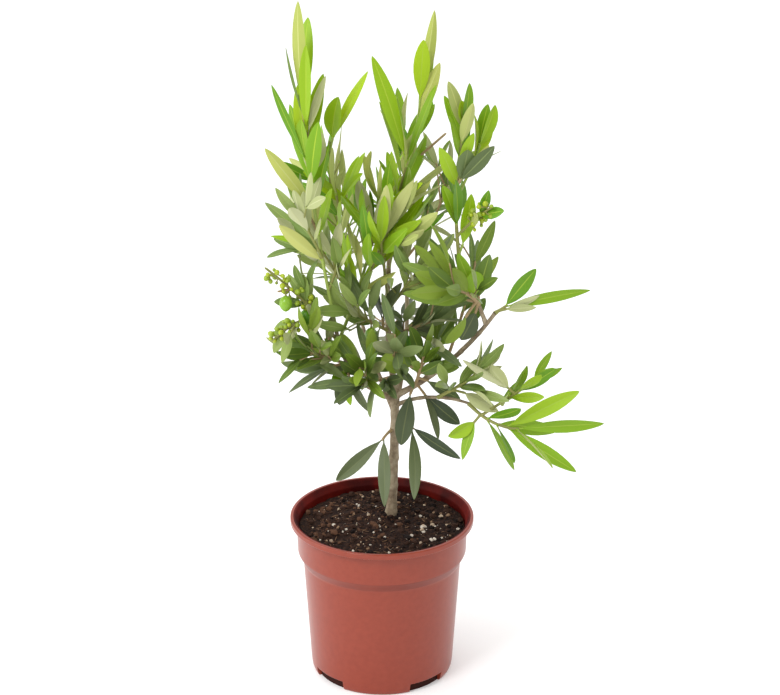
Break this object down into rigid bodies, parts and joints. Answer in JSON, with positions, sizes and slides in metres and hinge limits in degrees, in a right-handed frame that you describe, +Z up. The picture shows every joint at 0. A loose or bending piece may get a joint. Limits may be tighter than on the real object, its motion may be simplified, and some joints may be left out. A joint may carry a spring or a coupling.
{
  "type": "potted olive tree",
  "caption": "Young olive tree with an airy upright crown of narrow leaves, in a round tapered plastic nursery pot filled with soil.",
  "frame": {"origin": "middle of the flat underside of the pot, where the part stands", "axes": "+Z up along the pot's middle line; -Y is the side that shows the low right-hand spray and the berries; +X to the right of that view"},
  "size_m": [0.2369, 0.2413, 0.496],
  "materials": {
    "pot_plastic": "satin",
    "soil": "matte",
    "bark": "matte",
    "foliage": "satin"
  },
  "bodies": {
    "root": {"pot": "pot_plastic", "soil": "soil", "trunk": "bark", "bough_left": "bark", "bough_centre": "bark", "bough_right": "bark", "bough_right_upper": "bark", "bough_low": "bark", "bough_back": "bark", "bough_back_left": "bark", "leaves_top_left": "foliage", "leaves_left_crown": "foliage", "leaves_left": "foliage", "leaves_left_low": "foliage", "leaves_inner_left": "foliage", "leaves_inner_right": "foliage", "leaves_front": "foliage", "leaves_right_inner": "foliage", "leaves_skirt_left": "foliage", "leaves_skirt_right": "foliage", "leaves_centre": "foliage", "leaves_centre_top": "foliage", "leaves_right_top": "foliage", "leaves_right_mid": "foliage", "leaves_right_far": "foliage", "leaves_right_low": "foliage", "leaves_low_mid": "foliage", "leaves_mid_left": "foliage", "leaves_heart": "foliage", "leaves_upper_right": "foliage", "leaves_fork": "foliage", "leaves_low_left": "foliage", "leaves_back": "foliage", "leaves_back_left": "foliage", "leaves_back_low": "foliage", "leaves_back_right": "foliage"}
  },
  "joints": []
}
